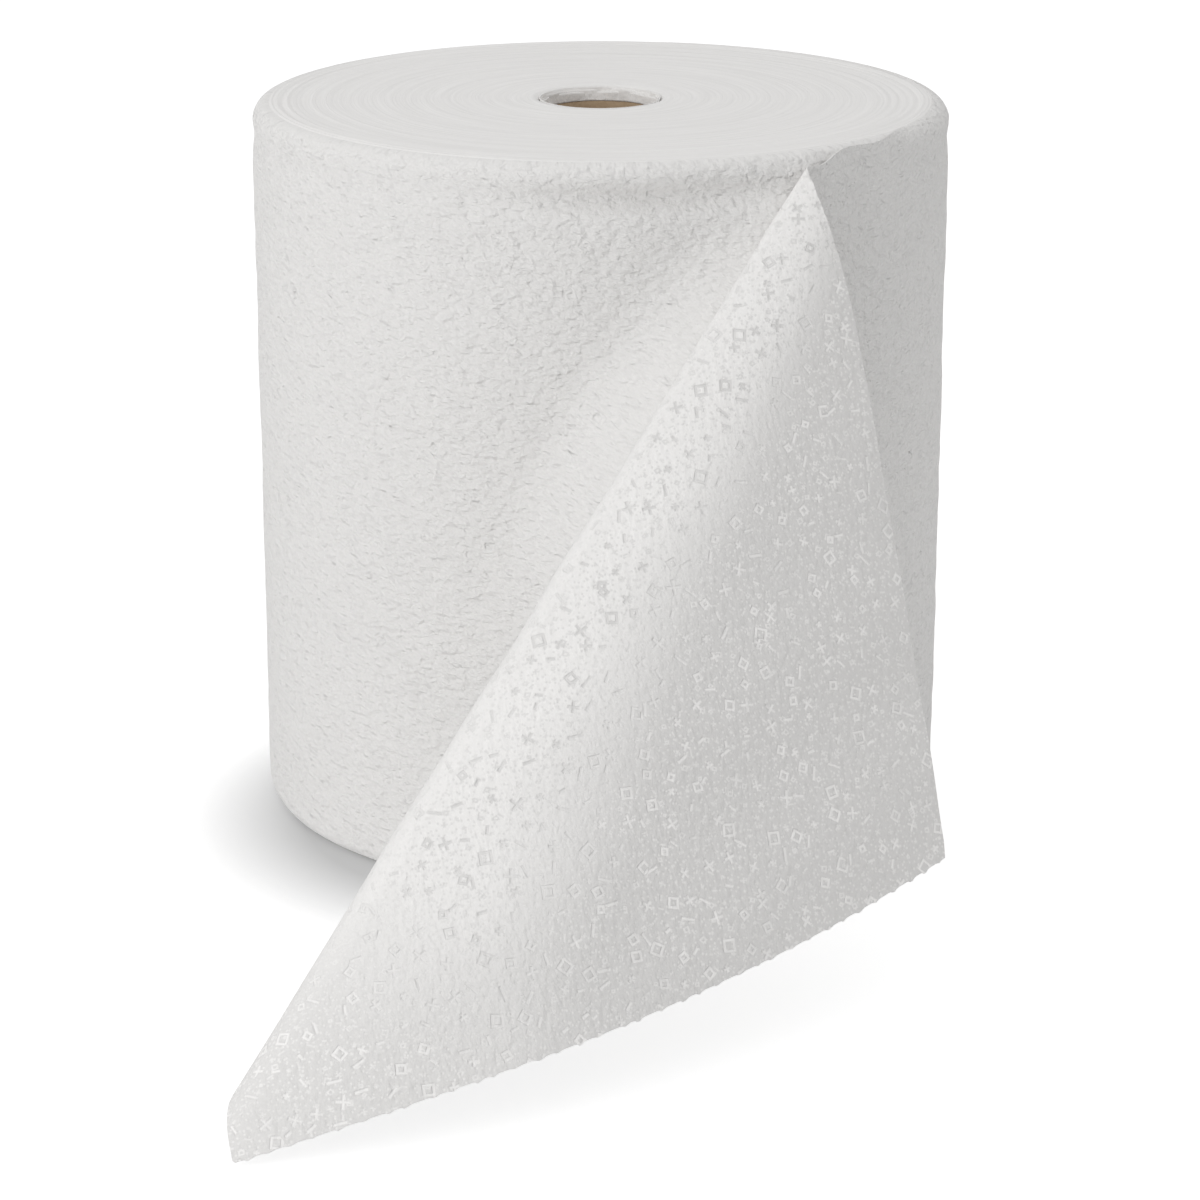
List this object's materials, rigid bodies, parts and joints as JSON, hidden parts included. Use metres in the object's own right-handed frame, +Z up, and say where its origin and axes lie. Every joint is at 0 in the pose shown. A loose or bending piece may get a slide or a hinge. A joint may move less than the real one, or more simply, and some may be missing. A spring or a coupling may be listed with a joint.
{
  "type": "wipe roll",
  "caption": "Large upright roll of white nonwoven wiping cloth on a card core, with its loose end pulled out and folded over along a diagonal.",
  "frame": {"origin": "on the roll's axis, at the base that it stands on", "axes": "+Z up along the roll's axis; -Y is the front, where the loose end stands; +X is the right, where the web leaves the roll"},
  "size_m": [0.31, 0.5659, 0.3218],
  "materials": {
    "core_card": "plain brown card, spirally wound",
    "web_cloth": "soft white nonwoven, lightly embossed and crinkled"
  },
  "bodies": {
    "root": {"core_tube": "core_card", "wipe_web": "web_cloth"}
  },
  "joints": []
}
